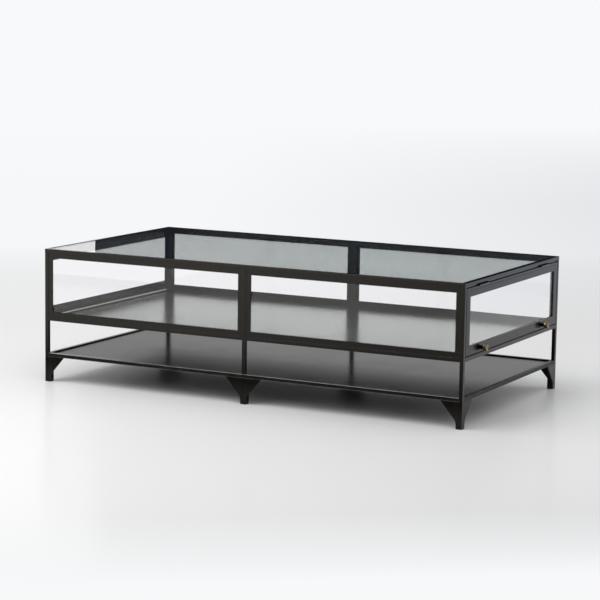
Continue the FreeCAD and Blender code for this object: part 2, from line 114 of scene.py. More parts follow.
def loft(rings: Array) -> Shell:
    """Skin a stack of rings and close it with a face over the first and the last.

    Point (i, j) joins (i, j+1), (i+1, j+1) and (i+1, j), with j wrapping round.  Seen from the end
    that the stack grows towards, a ring that runs anticlockwise gives faces that point outwards.

    Args:
        rings: Points as an array of rings by points round by three.

    Returns:
        A closed shell.  A ring of zero size closes to a single point when the mesh is made.
    """
    count, around = rings.shape[:2]
    here = np.arange(count * around).reshape(count, around)
    after = np.roll(here, -1, axis=1)
    quads = np.stack([here[:-1], after[:-1], after[1:], here[1:]], axis=-1).reshape(-1, 4)
    return Shell(rings.reshape(-1, 3), quads.tolist() + [here[0, ::-1].tolist(), here[-1].tolist()])


def unit(rows: Array) -> Array:
    """Each row at length one."""
    return rows / np.linalg.norm(rows, axis=1, keepdims=True)


def turns(arriving: Array, leaving: Array, radii: float | Array) -> tuple[Array, Array]:
    """How far each corner turns, and how far before it an arc that rounds it starts."""
    sine = arriving[:, 0] * leaving[:, 1] - arriving[:, 1] * leaving[:, 0]
    turn = np.arctan2(sine, (arriving * leaving).sum(axis=1))
    return turn, (radii * np.tan(np.abs(turn) / 2))[:, None]


def softened(outline: Array, radius: float | Array, steps: int = ARC_STEPS) -> tuple[Array, Array]:
    """Round the corners of a closed anticlockwise outline.

    Where it turns by t, the arc starts the radius times tan(t/2) before the corner, and its centre
    lies one radius to the side of its start.

    Args:
        outline: Corners as rows of two.
        radius: One radius, or one for each corner.
        steps: Pieces in each arc.

    Returns:
        The points, and at each the way out.  A step back along it draws the edges in by that step.
    """
    arriving = unit(outline - np.roll(outline, 1, axis=0))
    turn, reach = turns(arriving, np.roll(arriving, -1, axis=0), radius)
    radii = np.broadcast_to(radius, turn.shape)
    start = outline - arriving * reach
    outward = np.stack([arriving[:, 1], -arriving[:, 0]], axis=1)
    swing = radii * np.where(turn < 0, -1.0, 1.0)
    centre = start - outward * swing[:, None]
    angle = turn[:, None] * np.linspace(0, 1, steps + 1)
    x, y = outward[:, None, 0], outward[:, None, 1]
    ways = np.stack([x * np.cos(angle) - y * np.sin(angle),
                     x * np.sin(angle) + y * np.cos(angle)], axis=-1)
    points = centre[:, None] + ways * swing[:, None, None]
    following = np.roll(outward, -1, axis=0)
    mitre = (outward + following) / (1 + np.cos(turn))[:, None]
    ways = np.where((radii == 0)[:, None, None], mitre[:, None], ways)
    return points.reshape(-1, 2), ways.reshape(-1, 2)


def prism(outline: Array, run: Run, start: float, end: float, radius: float,
          corner_radius: float | Array | None = None, steps: int = ARC_STEPS) -> Shell:
    """Carry an outline straight along a run, with its long edges and its ends rounded.

    Near an end, at an angle f of the rounding, the outline is drawn in by radius times (1 - cos f)
    and lies radius times (1 - sin f) from the end.

    Args:
        outline: Anticlockwise corners across the run.
        run: The way along.
        start: Where it starts along the run.
        end: Where it ends.
        radius: Rounding at both ends, and of the corners unless they have their own.
        corner_radius: Rounding of the corners, one for all or one for each.
        steps: Pieces in each arc.
    """
    points, ways = softened(outline, radius if corner_radius is None else corner_radius, steps)
    angle = np.linspace(math.pi / 2, 0, steps + 1)
    inset = radius * (1 - np.cos(angle))
    depth = radius * (1 - np.sin(angle))
    insets = np.concatenate([inset, inset[::-1]])
    along = np.concatenate([start + depth, end - depth[::-1]])
    return loft(run.mix(points - ways * insets[:, None, None], along[:, None]))


def rectangle(low: Span, high: Span) -> Array:
    """Four anticlockwise corners."""
    return np.array([low, (high[0], low[1]), high, (low[0], high[1])], dtype=float)


def block(low: Place | Array, high: Place | Array, run: Run, radius: float,
          steps: int = ARC_STEPS, end: float | None = None) -> Shell:
    """A straight bar or strip between two opposite corners, every edge rounded.

    Args:
        low: Its lowest corner.
        high: Its highest corner.
        run: The way along it.
        radius: Rounding of its long edges, and of its ends unless they have their own.
        steps: Pieces in each arc.
        end: Rounding of its ends, small on a bar that is welded to what it meets.
    """
    first, second, along = run.value
    outline = rectangle((low[first], low[second]), (high[first], high[second]))
    return prism(outline, run, low[along], high[along], radius if end is None else end, radius, steps)


def turned(profile: Array, start: Place, run: Run, around: int) -> Shell:
    """Turn a profile about an axis along a run: each profile point becomes a circle.

    Args:
        profile: Rows of distance along the axis and radius, from one end to the other.
        start: Where the axis has distance zero.
        run: The way of the axis.
        around: Points in each circle.
    """
    angle = np.linspace(0, 2 * math.pi, around, endpoint=False)
    circle = np.stack([np.cos(angle), np.sin(angle)], axis=-1)
    rings = run.mix(profile[:, 1, None, None] * circle, profile[:, :1])
    return loft(rings + start)


def bent(line: Array, radii: Array) -> Array:
    """Round the inner corners of an open profile and keep its two ends as they are.

    Each corner becomes a curve between the points where an arc of its radius would touch the edges:
    at a share s, (1-s) squared of the first, 2s(1-s) of the corner and s squared of the last.

    Args:
        line: Corners as rows of two.
        radii: One for each inner corner.
    """
    inner = line[1:-1]
    arriving, leaving = unit(inner - line[:-2]), unit(line[2:] - inner)
    _, reach = turns(arriving, leaving, radii)
    first, last = inner - arriving * reach, inner + leaving * reach
    share = np.linspace(0, 1, BEND_STEPS + 1)[:, None]
    arcs = ((1 - share) ** 2 * first[:, None] + 2 * share * (1 - share) * inner[:, None]
            + share ** 2 * last[:, None])
    return np.concatenate([line[:1], arcs.reshape(-1, 2), line[-1:]])


# ------------------------ finishes

Tree = bpy.types.NodeTree
Node = bpy.types.Node
Socket = bpy.types.NodeSocket
Material = bpy.types.Material
Colour = str | tuple | Socket    # an sRGB hex colour, a linear colour, or a socket that gives one
Value = float | Socket

COLOUR_A, COLOUR_B, COLOUR_MIXED = 6, 7, 2    # a Mix node's colour sockets
SRGB_KNEE, SRGB_SLOPE, SRGB_OFFSET, SRGB_POWER = 0.04045, 12.92, 0.055, 2.4
NOISE_ROUGHNESS = 0.55
NOISE_SPAN = (0.3, 0.7)          # noise seldom leaves it
LOOKS_DOWN = -0.5                # a face whose normal has a lower z is an underside
EDGE_SPAN = (0.88, 0.98)         # largest part of a normal, from a rounded edge to a flat face


def linear(hex_colour: str) -> tuple[float, float, float, float]:
    """Turn an sRGB hex colour into linear red, green, blue and alpha.

    Up to the knee a part is divided by the slope.  Above it, the offset is added, the sum is scaled
    so that one stays one, and raised to the power.
    """
    parts = np.array(list(bytes.fromhex(hex_colour[1:]))) / 255
    curved = ((parts + SRGB_OFFSET) / (1 + SRGB_OFFSET)) ** SRGB_POWER
    return (*np.where(parts <= SRGB_KNEE, parts / SRGB_SLOPE, curved).tolist(), 1.0)


def add_node(tree: Tree, kind: str, inputs: dict | None = None, **settings) -> Node:
    """Add a node, set its properties, and set or link its inputs.

    Args:
        tree: The node tree.
        kind: The node's type name without "ShaderNode" before it.
        inputs: Socket name or number to a value, or to an output socket to link from.
        **settings: Properties of the node.

    Returns:
        The new node.
    """
    node = tree.nodes.new("ShaderNode" + kind)
    for name, value in settings.items():
        setattr(node, name, value)
    for socket, value in (inputs or {}).items():
        if isinstance(value, Socket):
            tree.links.new(value, node.inputs[socket])
        else:
            node.inputs[socket].default_value = value
    return node


def place_on_piece(tree: Tree) -> Socket:
    """Object coordinates, which are the frame's own, as every piece has its origin at zero."""
    return add_node(tree, "TexCoord").outputs["Object"]


def apart(tree: Tree, vector: Socket) -> list[Socket]:
    """The x, y and z of a vector."""
    return list(add_node(tree, "SeparateXYZ", {0: vector}).outputs)


def noise(tree: Tree, size_mm: float, detail: float, stretch: Place = (1, 1, 1)) -> Socket:
    """Noise that repeats about every size_mm, stretched along some directions."""
    shrink = tuple(1 / amount for amount in stretch)
    mapping = add_node(tree, "Mapping", {"Vector": place_on_piece(tree), "Scale": shrink})
    return add_node(tree, "TexNoise", {"Vector": mapping.outputs[0], "Scale": 1 / (size_mm * MM),
                                       "Detail": detail, "Roughness": NOISE_ROUGHNESS}).outputs["Fac"]


def spread(tree: Tree, value: Socket, low: Value, high: Value, span: Span = NOISE_SPAN) -> Socket:
    """Map a value from between the ends of a span to between low and high."""
    return add_node(tree, "MapRange", {"Value": value, "From Min": span[0], "From Max": span[1],
                                       "To Min": low, "To Max": high}).outputs["Result"]


def blended(tree: Tree, share: Value, first: Colour, second: Colour) -> Socket:
    """Mix two colours by a share from 0 to 1."""
    first, second = (linear(item) if isinstance(item, str) else item for item in (first, second))
    mix = add_node(tree, "Mix", {0: share, COLOUR_A: first, COLOUR_B: second}, data_type="RGBA")
    return mix.outputs[COLOUR_MIXED]


def turning(tree: Tree, value: Socket, span: Span, first: Colour, second: Colour) -> Socket:
    """A colour that turns from the first to the second while a value crosses a span."""
    return blended(tree, spread(tree, value, 0, 1, span), first, second)


def combined(tree: Tree, operation: str, first: Value, second: Value = 0) -> Socket:
    """Join two values by a maths operation, such as MULTIPLY or MAXIMUM."""
    return add_node(tree, "Math", {0: first, 1: second}, operation=operation).outputs[0]


def underside(tree: Tree) -> Socket:
    """One on faces that look down, zero on the others."""
    normal = add_node(tree, "NewGeometry").outputs["Normal"]
    return combined(tree, "LESS_THAN", apart(tree, normal)[2], LOOKS_DOWN)


def rounded(tree: Tree) -> Socket:
    """One on rounded edges, zero on faces square to an axis.

    The largest part of the piece's own normal is 1 on such a face and 0.7 halfway round an edge.
    """
    normal = add_node(tree, "TexCoord").outputs["Normal"]
    size = add_node(tree, "VectorMath", {0: normal}, operation="ABSOLUTE").outputs[0]
    x, y, z = apart(tree, size)
    return spread(tree, combined(tree, "MAXIMUM", x, combined(tree, "MAXIMUM", y, z)), 1, 0, EDGE_SPAN)


def bumped(tree: Tree, height: Socket, bump: Span) -> Socket:
    """A normal tilted by a pattern of heights; the bump is its strength and its depth in mm."""
    return add_node(tree, "Bump", {"Height": height, "Strength": bump[0],
                                   "Distance": bump[1] * MM}).outputs[0]


def mixed(tree: Tree, share: Value, first: Node, second: Node) -> Node:
    """Mix two surfaces by a share from 0 to 1."""
    return add_node(tree, "MixShader", {0: share, 1: first.outputs[0], 2: second.outputs[0]})


def principled(tree: Tree, colour: Colour, rough: Value, metallic: Value = 1.0, **more: Value) -> Node:
    """A Principled surface.  Other inputs are named with an underscore for each space."""
    inputs = {"Base Color": colour, "Roughness": rough, "Metallic": metallic}
    inputs.update((name.replace("_", " "), value) for name, value in more.items())
    return add_node(tree, "BsdfPrincipled", inputs)


class Finish:
    """A finish: its material's name and nodes, and the slot of the pieces that wear it."""

    name: str
    slot: str

    def surface(self, tree: Tree) -> Node:
        """Add the nodes of the surface, and return the last."""
        raise NotImplementedError

    @cache
    def material(self) -> Material:
        """The material, made once for each finish, with only the surface's nodes in it."""
        material = bpy.data.materials.new(self.name)
        material.use_nodes = True
        tree = material.node_tree
        tree.nodes.clear()
        add_node(tree, "OutputMaterial", {"Surface": self.surface(tree).outputs[0]})
        return material


@dataclass(frozen=True)
class BarSteel(Finish):
    """Mild steel square bar, blackened and waxed.

    A thin black oxide with wax over it: near black face on, a satin sheen that turns pale at a
    glancing angle, drawing lines along the bar, faint brown clouds where the oxide is thinner, and
    bare steel where handling has rubbed the rounded edges.
    """

    name: str
    run: Run
    wear: float = 0.25
    oxide: str = "#383837"
    brown: str = "#3C3A36"
    bare: str = "#A9A7A2"
    roughness: Span = (0.18, 0.26)
    cloud_mm: float = 32.0
    cloud_span: Span = (0.38, 0.72)
    line_mm: float = 2.2      # drawing lines are about 0.1 mm; drawn coarser so that they show
    line_stretch: float = 60.0
    bump: Span = (0.12, 0.05)
    slot: str = "blackened_steel"

    def surface(self, tree: Tree) -> Node:
        """Clouds and drawing lines over the whole bar, and wear on its edges."""
        stretch = tuple(self.line_stretch if way == self.run.value[2] else 1 for way in range(3))
        clouds = noise(tree, self.cloud_mm, detail=5)
        lines = noise(tree, self.line_mm, detail=2, stretch=stretch)
        black = turning(tree, clouds, self.cloud_span, self.oxide, self.brown)
        worn = spread(tree, clouds, self.wear / 2, self.wear)
        rubbed = combined(tree, "MULTIPLY", rounded(tree), worn)
        return principled(tree, blended(tree, rubbed, black, self.bare),
                          spread(tree, clouds, *self.roughness), Normal=bumped(tree, lines, self.bump))


@dataclass(frozen=True)
class SheetSteel(Finish):
    """Cold-rolled steel sheet, blackened and waxed on top, with painted shade below: faces that look
    down are near black, matt and not metallic.

    Smoother than the bar, so it mirrors what stands on it; cloudy oxide a hand's breadth across and
    faint wiping marks from the waxing cloth.
    """

    name: str
    oxide: str
    pale: str
    roughness: Span
    edge_tint: str
    underside_painted_shade: str = "#161615"
    matt: float = 0.9
    cloud_mm: float = 120.0
    cloud_span: Span = (0.35, 0.7)
    wipe_mm: float = 24.0
    wipe_stretch: Place = (20, 1, 1)
    bump: Span = (0.05, 0.05)
    slot: str = "sheet_steel"

    def surface(self, tree: Tree) -> Node:
        """Cloudy wax on top, and painted shade below: near black, matt and not metallic on faces that
        look down.
        """
        clouds = noise(tree, self.cloud_mm, detail=6)
        wipes = noise(tree, self.wipe_mm, detail=2, stretch=self.wipe_stretch)
        waxed = turning(tree, clouds, self.cloud_span, self.oxide, self.pale)
        under = underside(tree)
        rough = spread(tree, under, spread(tree, clouds, *self.roughness), self.matt, (0, 1))
        return principled(tree, blended(tree, under, waxed, self.underside_painted_shade), rough,
                          metallic=combined(tree, "SUBTRACT", 1.0, under),
                          Specular_Tint=linear(self.edge_tint), Normal=bumped(tree, wipes, self.bump))


@dataclass(frozen=True)
class FloatGlass(Finish):
    """Float glass: flat, polished and see-through, with a slight long wave left by the float.

    An IOR under the 1.52 of plain glass dims its reflections, as a coating would.
    """

    name: str
    slot: str
    tint: str
    ior: float
    wave_mm: float = 160.0
    bump: Span = (0.2, 0.02)

    def surface(self, tree: Tree) -> Node:
        """Clear glass.  Lamps shine through it, dimmed by the tint, onto what lies inside."""
        wave = noise(tree, self.wave_mm, detail=0)
        tint = linear(self.tint)
        glass = principled(tree, tint, rough=0.0, metallic=0.0, IOR=self.ior, Transmission_Weight=1.0,
                           Normal=bumped(tree, wave, self.bump))
        clear = add_node(tree, "BsdfTransparent", {"Color": tint})
        lamp = add_node(tree, "LightPath").outputs["Is Shadow Ray"]
        return mixed(tree, lamp, glass, clear)


@dataclass(frozen=True)
class AgedBrass(Finish):
    """Turned brass, aged: golden where hands keep it bright, brown where the patina stays.

    The neck is nearly black: painted shade between the head and the door.
    """

    name: str = "aged_turned_brass"
    bright: str = "#A08F68"
    patina: str = "#453828"
    neck_painted_shade: str = "#1E1914"
    neck_mm: Span = (7.0, 9.0)
    roughness: Span = (0.22, 0.42)
    patch_mm: float = 6.0
    patch_span: Span = (0.42, 0.66)
    lathe_mm: float = 0.7
    lathe_stretch: Place = (1, 30, 30)
    bump: Span = (0.15, 0.05)
    slot: str = "brass"

    def surface(self, tree: Tree) -> Node:
        """Patches and lathe marks, and painted shade, nearly black, that ends along x with the knobs'
        necks.
        """
        patches = noise(tree, self.patch_mm, detail=5)
        marks = noise(tree, self.lathe_mm, detail=1, stretch=self.lathe_stretch)
        hand = turning(tree, patches, self.patch_span, self.bright, self.patina)
        door_face = corners("knob_front")[0][0]
        neck_end = tuple(door_face + length * MM for length in self.neck_mm)
        along = apart(tree, place_on_piece(tree))[0]
        return principled(tree, turning(tree, along, neck_end, self.neck_painted_shade, hand),
                          spread(tree, patches, *self.roughness), Normal=bumped(tree, marks, self.bump))


@dataclass(frozen=True)
class ZincPlate(Finish):
    """Zinc-plated steel, pale grey or passivated black: satin, with small crystals."""

    name: str
    bright: str
    dull: str
    roughness: Span = (0.28, 0.4)
    crystal_mm: float = 1.2
    slot: str = "zinc_plated_steel"

    def surface(self, tree: Tree) -> Node:
        """Crystals of two shades."""
        grains = noise(tree, self.crystal_mm, detail=2)
        return principled(tree, turning(tree, grains, NOISE_SPAN, self.bright, self.dull),
                          spread(tree, grains, *self.roughness))


@dataclass(frozen=True)
class SoftPlastic(Finish):
    """A moulded plastic or foam: dull, with a fine grain."""

    name: str
    slot: str
    colour: str
    shade: str
    roughness: Span
    grain_mm: float
    bump: Span = (0.3, 0.1)

    def surface(self, tree: Tree) -> Node:
        """A grain in shade and height."""
        grain = noise(tree, self.grain_mm, detail=2)
        return principled(tree, turning(tree, grain, NOISE_SPAN, self.colour, self.shade),
                          spread(tree, grain, *self.roughness), metallic=0.0,
                          Normal=bumped(tree, grain, self.bump))


BAR = {run: BarSteel(f"waxed_blackened_bar_steel_{run.name.lower()}", run) for run in Run}
RUBBED_BAR = BarSteel("rubbed_blackened_bar_steel_x", Run.X, wear=1.0)
DULL_BAR = BarSteel("dull_blackened_bar_steel_y", Run.Y, wear=0.1, roughness=(0.44, 0.52))
# The feet: a darker oxide and brown than the bars above, painted shade low down by the floor.
FOOT_BAR_PAINTED_SHADE = BarSteel("deep_blackened_bar_steel_z", Run.Z, oxide="#2A2A29", brown="#2D2B28")
# One sheet steel in two copies: the case floor pale and a little green, painted light through the
# glass; the shelf darker, painted shade under the case floor, with a greyer edge tint that dims its
# glancing sheen, also painted shade.
CASE_SHEET_PAINTED_LIGHT = SheetSteel("waxed_sheet_steel_painted_light", "#8A8B87", "#94958F", (0.18, 0.24), "#FFFFFF")
SHELF_SHEET_PAINTED_SHADE = SheetSteel("waxed_sheet_steel_painted_shade", "#444443", "#4C4B4A", (0.16, 0.21), "#C5C5C5")
CLEAR_GLASS = FloatGlass("clear_float_glass", "clear_glass", "#FAFAFB", ior=1.4)
TOP_GLASS = FloatGlass("tinted_float_glass", "tinted_glass", "#F8FFFC", ior=1.17)
BRASS = AgedBrass()
ZINC = ZincPlate("zinc_plated_steel", "#B9BCBF", "#8E9295")
BLACK_ZINC = ZincPlate("black_zinc_plated_steel", "#2E2E2F", "#222223")
NYLON = SoftPlastic("black_moulded_nylon", "nylon", "#1B1B1C", "#242425", (0.44, 0.56), 0.8)
FOAM = SoftPlastic("black_closed_cell_foam", "foam_tape", "#141414", "#1E1E1E", (0.79, 0.91), 0.6)
CATCH = SoftPlastic("brown_moulded_catch_plastic", "catch_plastic", "#2B211B", "#352A22", (0.34, 0.46),
                    0.5)


# ------------------------ pieces

def add_object(name: str, data: bpy.types.ID) -> bpy.types.Object:
    """Put a mesh, lamp or camera into the scene."""
    item = bpy.data.objects.new(name, data)
    bpy.context.scene.collection.objects.link(item)
    return item


def make_piece(name: str, shell: Shell, finish: Finish, body: str, nodes: list[str]) -> None:
    """Turn a shell into a finished piece that rides on a body and stands for some CAD nodes.

    Args:
        name: The piece's name.
        shell: Its surface.
        finish: Its finish.
        body: The body that it moves with.
        nodes: The CAD nodes that it replaces, or none for a piece of its own.
    """
    mesh = bpy.data.meshes.new(name)
    mesh.from_pydata(shell.points, [], shell.faces)
    work = bmesh.new()
    work.from_mesh(mesh)
    bmesh.ops.remove_doubles(work, verts=work.verts, dist=SAME_POINT)
    bmesh.ops.dissolve_degenerate(work, edges=work.edges, dist=SAME_POINT)
    work.to_mesh(mesh)
    work.free()
    mesh.shade_smooth()
    mesh.materials.append(finish.material())
    piece = add_object(name, mesh)
    piece.modifiers.new("flat_faces_stay_flat", "WEIGHTED_NORMAL").keep_sharp = True
    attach(piece, body)
    if nodes:
        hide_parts(*nodes)
    stands_for = ", ".join(nodes) or "itself"
    LOG.info("%s: %d faces, on %s, for %s", name, len(mesh.polygons), body, stands_for)


def dress(node: str, finish: Finish) -> None:
    """Give a CAD node that stays its finish."""
    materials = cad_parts[node].data.materials
    materials.clear()
    materials.append(finish.material())
    LOG.info("%s: kept, %s", node, materials[0].name)


def corners(node: str) -> tuple[Array, Array]:
    """A node's lowest and highest corners."""
    low, high = np.array(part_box(node))
    return low, high


@dataclass
class WeldedFrame:
    """The rails and legs: square bar with its mill rounding, butted and welded."""

    edge: float = 0.9 * MM
    case_edge: float = 0.5 * MM
    shelf_edge: float = 1.6 * MM
    weld: float = 0.25 * MM

    def build(self) -> None:
        """Make every rail, leg and middle leg."""
        for level in ("top", "case", "shelf"):
            for side, run in (("front", Run.X), ("back", Run.X), ("left", Run.Y), ("right", Run.Y)):
                self.member(f"{level}_rail_{side}", run)
        for side in ("front", "back"):
            for spot in ("left", "right"):
                self.member(f"leg_{side}_{spot}", Run.Z)
            self.middle_leg(f"leg_{side}_middle")

    def member(self, node: str, run: Run) -> None:
        """One bar from end to end of its node."""
        edge, finish = self.edge, BAR[run]
        if node.startswith("case"):
            edge = self.case_edge
        elif node.startswith("shelf") and run is Run.X:
            edge, finish = self.shelf_edge, RUBBED_BAR
        elif node in ("shelf_rail_right", "top_rail_left"):
            finish = DULL_BAR
        bar = block(*corners(node), run, edge, end=self.weld)
        make_piece(node + "_bar", bar, finish, TABLE, [node])

    def middle_leg(self, node: str) -> None:
        """Two lengths of bar, one above the case rail and one below it."""
        low, high = corners(node)
        rail_low, rail_high = corners("case_rail_front")
        lower = block(low, (high[0], high[1], rail_low[2]), Run.Z, self.edge, end=self.weld)
        upper = block((low[0], low[1], rail_high[2]), high, Run.Z, self.edge, end=self.weld)
        make_piece(node + "_bars", joined([lower, upper]), BAR[Run.Z], TABLE, [node])


@dataclass
class Feet:
    """Six square tubes, each with flared gusset plates under the rails, and a glide in each."""

    width: float = 21 * MM
    wall: float = 2.5 * MM
    cap: float = 3 * MM
    edge: float = 1.0 * MM
    plate: float = 3 * MM
    plate_edge: float = 0.5 * MM
    reach: float = 53 * MM
    base: float = 17 * MM
    lip: float = 0.8 * MM
    radius: float = 22 * MM
    arc_points: int = 14

    def gusset(self, low: Array, high: Array, away: Array, inward: Array) -> Shell:
        """A plate in the corner between a foot and a rail.

        The slope from the tip touches a circle that stands a lip out from the foot.  The touching
        point is turned from the tip's direction by the angle whose cosine is radius over distance.

        Args:
            low: The tube's lowest corner.
            high: The tube's highest corner, at the rail's underside.
            away: The way out from the foot along the rail.
            inward: The way in from the rail's outer face, on which the plate lies.
        """
        centre = np.array([self.lip + self.radius, self.base])
        tip = np.array([self.reach, high[2]])
        gap = tip - centre
        first = math.atan2(gap[1], gap[0]) + math.acos(self.radius / math.hypot(*gap))
        turn = np.linspace(math.pi, first, self.arc_points)
        arc = centre + self.radius * np.stack([np.cos(turn), np.sin(turn)], axis=-1)
        outline = np.concatenate([[[0, self.base]], arc, [tip, [0, high[2]]]])
        plate = prism(outline, Run.Z, 0, self.plate, self.plate_edge, corner_radius=0.0)
        across = np.cross(away, UP)
        corner = np.where(away - inward > 0, high, low) * (1 - UP)
        if across @ inward < 0:
            corner += inward * self.plate
        return plate.moved(corner, np.array([away, UP, across]))

    def tube(self, low: Array, high: Array) -> Shell:
        """A square tube with a closed top: the bore's ceiling, its walls, the rim and the outside."""
        half = self.edge / 2
        outside, ways = softened(rectangle(low[:2], high[:2]), self.edge)
        bore, _ = softened(rectangle(low[:2] + self.wall, high[:2] - self.wall), half)
        drawn_in = outside - ways * half
        levels = [(bore, high[2] - self.cap), (bore, low[2]), (drawn_in, low[2]),
                  (outside, low[2] + half), (outside, high[2] - half), (drawn_in, high[2])]
        return loft(np.stack([Run.Z.mix(ring, height) for ring, height in levels]))

    def build(self) -> None:
        """Make the six feet and dress their glides."""
        for side, deep in (("front", 1), ("back", -1)):
            for spot, inner in (("left", 1), ("middle", 0), ("right", -1)):
                self.foot(f"foot_{side}_{spot}", np.array([inner, deep, 0]))
        dress("foot_glides", NYLON)

    def foot(self, node: str, inward: Array) -> None:
        """One foot: its tube at the outer corner of the node's box, and a gusset under each rail.

        Args:
            node: The foot's node.
            inward: The way in from the outer corner, with zero for x on a middle foot.
        """
        low, high = corners(node)
        tube_low = low + (high - low - self.width) * (1 - inward) / 2 * (1 - UP)
        tube_high = np.array([*(tube_low + self.width)[:2], high[2]])
        on_x, on_y = inward * (1, 0, 0), inward * (0, 1, 0)
        rails = [(on_x, on_y), (on_y, on_x)] if on_x.any() else [((1, 0, 0), on_y), ((-1, 0, 0), on_y)]
        parts = [self.tube(tube_low, tube_high)]
        for away, inner in rails:
            parts.append(self.gusset(tube_low, tube_high, np.array(away), inner))
        make_piece(node + "_welded", joined(parts), FOOT_BAR_PAINTED_SHADE, TABLE, [node])


@dataclass
class Window:
    """A rectangular ring of four strips in an upright plane, the level ones running full length."""

    level: float
    upright: float
    edge: float = 0.4 * MM

    def strips(self, low: Array, high: Array) -> Shell:
        """The four strips that fill a box and leave its middle open."""
        run = Run.X if high[0] - low[0] > high[1] - low[1] else Run.Y
        parts = []
        for way, axis, size, shorter in ((run, 2, self.level, 0),
                                         (Run.Z, run.value[2], self.upright, self.level)):
            for start in (low[axis], high[axis] - size):
                bottom, top = low + shorter * UP, high - shorter * UP
                bottom[axis], top[axis] = start, start + size
                parts.append(block(bottom, top, way, self.edge))
        return joined(parts)


@dataclass
class FixedGlazing:
    """Five fixed panes, each between an outer stop frame and inner beads."""

    stop: float = 17.3 * MM
    end_stop: float = 30 * MM
    bead: float = 9 * MM
    bead_thickness: float = 4 * MM
    pane_gap: float = 2 * MM
    arris: float = 0.4 * MM

    def build(self) -> None:
        """Make the stops, panes and beads of every bay."""
        beads = []
        for bay in ("front_left", "front_right", "back_left", "back_right", "left_end"):
            frame_node, pane_node = "glazing_frame_" + bay, "side_glass_" + bay
            level, run = (self.end_stop, Run.Y) if bay == "left_end" else (self.stop, Run.X)
            stops = Window(level, self.stop).strips(*corners(frame_node))
            make_piece(frame_node + "_strips", stops, BAR[run], TABLE, [frame_node])
            pane_low, pane_high = corners(pane_node)
            pane = block(pane_low, pane_high, Run.Z, self.arris, steps=1)
            make_piece(pane_node + "_pane", pane, CLEAR_GLASS, TABLE, [pane_node])
            beads.append(self.bay_beads(pane_low, pane_high, bay))
        make_piece("glazing_bead_strips", joined(beads), BAR[Run.X], TABLE, ["glazing_beads"])

    def bay_beads(self, low: Array, high: Array, bay: str) -> Shell:
        """The bead ring behind a pane: as large as the opening, and one thickness further in."""
        across = 0 if bay == "left_end" else 1
        inner_low, inner_high = low - self.pane_gap, high + self.pane_gap
        start = low[across] - self.bead_thickness if bay.startswith("back") else high[across]
        inner_low[across], inner_high[across] = start, start + self.bead_thickness
        return Window(self.bead, self.bead).strips(inner_low, inner_high)


@dataclass
class FlushTop:
    """The tinted top pane, flush between the rails, on tape on a welded ledge."""

    arris: float = 0.6 * MM

    def build(self) -> None:
        """Make the pane and dress what carries it."""
        pane = block(*corners("top_glass"), Run.Z, self.arris, steps=2)
        make_piece("top_glass_pane", pane, TOP_GLASS, TABLE, ["top_glass"])
        dress("top_glass_ledge", BAR[Run.X])
        dress("top_glass_tape", FOAM)


